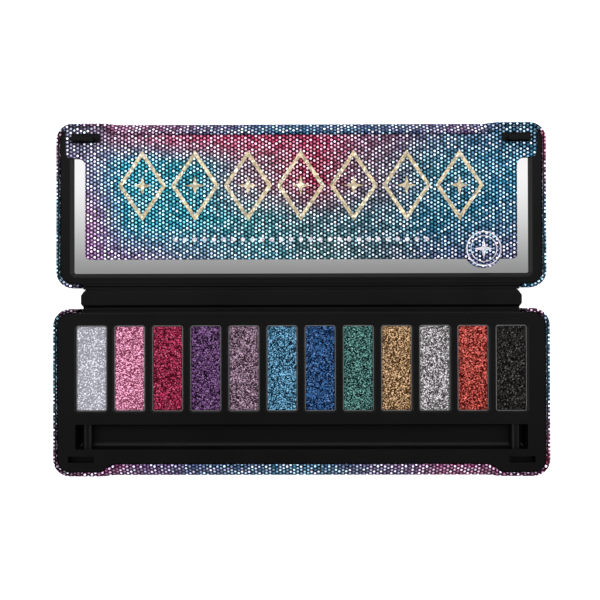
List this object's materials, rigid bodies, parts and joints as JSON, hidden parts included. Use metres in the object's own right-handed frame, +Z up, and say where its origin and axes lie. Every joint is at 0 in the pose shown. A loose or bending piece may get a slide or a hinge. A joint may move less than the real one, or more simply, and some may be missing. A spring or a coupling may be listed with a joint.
{
  "type": "eyeshadow palette",
  "caption": "Slim eyeshadow palette of two stamped tins joined by a plastic spine: glitter pans and an applicator trough in the base, a mirror and display card in the lid.",
  "frame": {"origin": "centre of the base tin's underside, with the palette lying open and flat", "axes": "+X along the length, to the right of someone facing the open palette; +Y from the base towards the lid; +Z up"},
  "size_m": [0.203, 0.1454, 0.01],
  "materials": {
    "tin_film": "tinplate wrapped in printed glitter film",
    "black_plastic": "satin moulded black",
    "foam_tape": "double-sided adhesive tape",
    "glue": "hot-melt glue",
    "pan_metal": "bright pressed",
    "mirror_glass": "silvered glass",
    "glitter_card": "card faced with printed glitter film",
    "shade_01": "pressed lavender white glitter powder",
    "shade_02": "pressed pink glitter powder",
    "shade_03": "pressed crimson glitter powder",
    "shade_04": "pressed purple glitter powder",
    "shade_05": "pressed mauve glitter powder",
    "shade_06": "pressed sky blue glitter powder",
    "shade_07": "pressed blue glitter powder",
    "shade_08": "pressed green glitter powder",
    "shade_09": "pressed gold glitter powder",
    "shade_10": "pressed silver glitter powder",
    "shade_11": "pressed red glitter powder",
    "shade_12": "pressed black glitter powder"
  },
  "bodies": {
    "base": {"base_shell": "tin_film", "base_tray": "black_plastic", "tray_pads": "foam_tape", "pan_glue": "glue", "pan_01": "pan_metal", "shade_01": "shade_01", "pan_02": "pan_metal", "shade_02": "shade_02", "pan_03": "pan_metal", "shade_03": "shade_03", "pan_04": "pan_metal", "shade_04": "shade_04", "pan_05": "pan_metal", "shade_05": "shade_05", "pan_06": "pan_metal", "shade_06": "shade_06", "pan_07": "pan_metal", "shade_07": "shade_07", "pan_08": "pan_metal", "shade_08": "shade_08", "pan_09": "pan_metal", "shade_09": "shade_09", "pan_10": "pan_metal", "shade_10": "shade_10", "pan_11": "pan_metal", "shade_11": "shade_11", "pan_12": "pan_metal", "shade_12": "shade_12", "base_hinge_web": "black_plastic"},
    "spine": {"hinge_spine": "black_plastic"},
    "lid": {"lid_hinge_web": "black_plastic", "lid_shell": "tin_film", "lid_frame": "black_plastic", "lid_pads": "foam_tape", "mirror_tape": "foam_tape", "mirror_glass": "mirror_glass", "display_card": "glitter_card"}
  },
  "joints": [
    {"name": "base_hinge", "type": "hinge", "parent": "base", "child": "spine", "pos_m": [0, 0.03425, 0.0034], "axis": [1, 0, 0], "range_deg": [0, 90], "deforming": ["base_hinge_web"]},
    {"name": "lid_hinge", "type": "hinge", "parent": "spine", "child": "lid", "pos_m": [0, 0.04275, 0.0034], "axis": [1, 0, 0], "range_deg": [0, 90], "deforming": ["lid_hinge_web"]}
  ]
}
